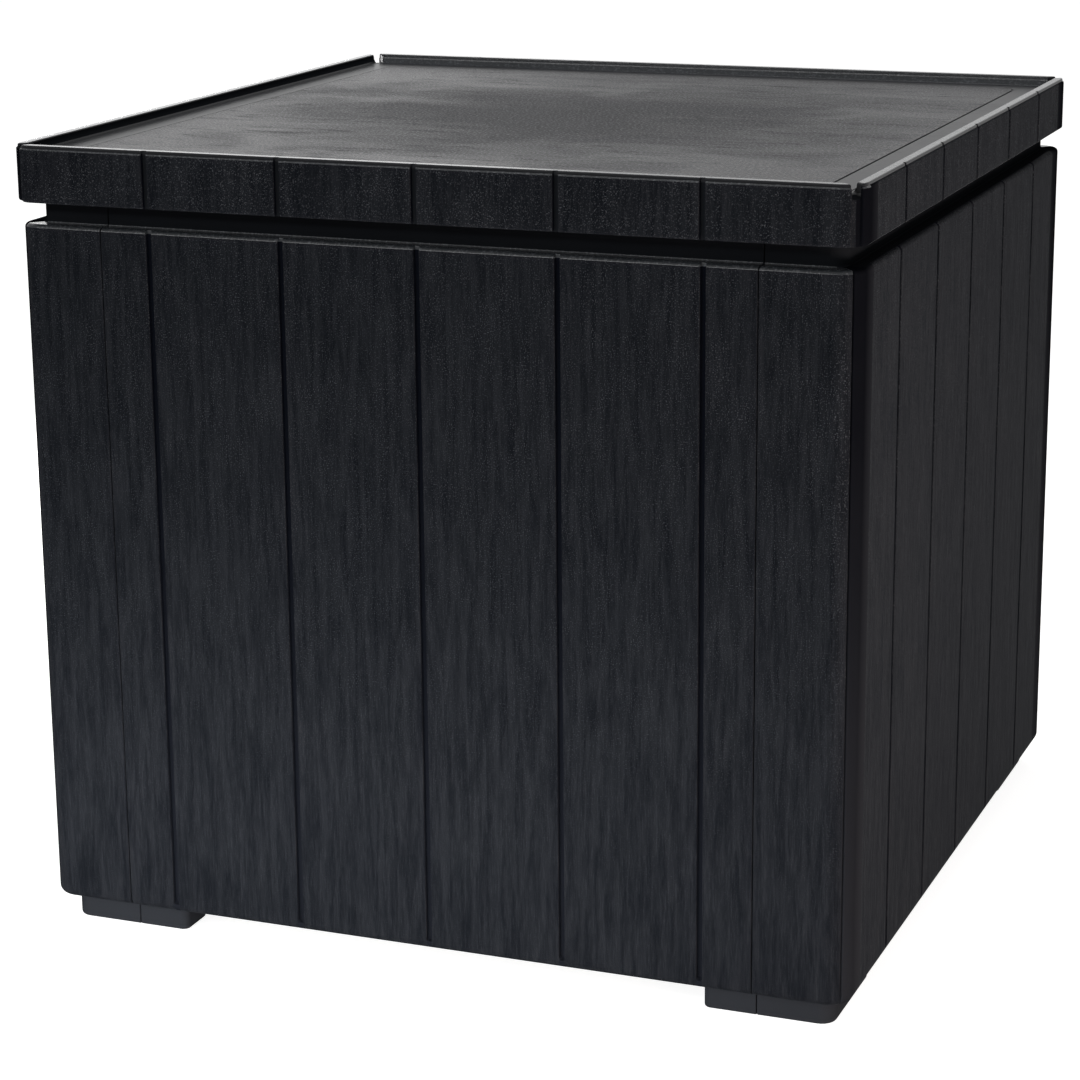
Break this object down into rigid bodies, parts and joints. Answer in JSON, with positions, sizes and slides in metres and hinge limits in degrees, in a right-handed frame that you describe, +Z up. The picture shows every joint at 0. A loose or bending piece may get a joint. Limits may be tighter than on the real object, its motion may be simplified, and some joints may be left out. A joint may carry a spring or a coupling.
{
  "type": "storage side table",
  "caption": "Square resin storage box on low feet with planked walls, a recessed neck and a lift-off lid whose raised rim makes it a tray-topped side table.",
  "frame": {"origin": "on the ground under the middle of the box", "axes": "+Z up, front towards -Y, +X to the right seen from the front"},
  "size_m": [0.4436, 0.4436, 0.4165],
  "materials": {
    "wall_resin": "moulded with a fine upright wood grain, satin",
    "lid_resin": "grained skirt and finely stippled tray, satin",
    "floor_resin": "plain moulded, satin"
  },
  "bodies": {
    "box": {"front_panel": "wall_resin", "back_panel": "wall_resin", "left_side_panel": "wall_resin", "right_side_panel": "wall_resin", "floor_panel": "floor_resin"},
    "lid": {"lid_frame": "lid_resin", "lid_tray": "lid_resin"}
  },
  "joints": [
    {"name": "lid_lift", "type": "slide", "parent": "box", "child": "lid", "axis": [0, 0, 1], "range_m": [0, 0.2]}
  ]
}
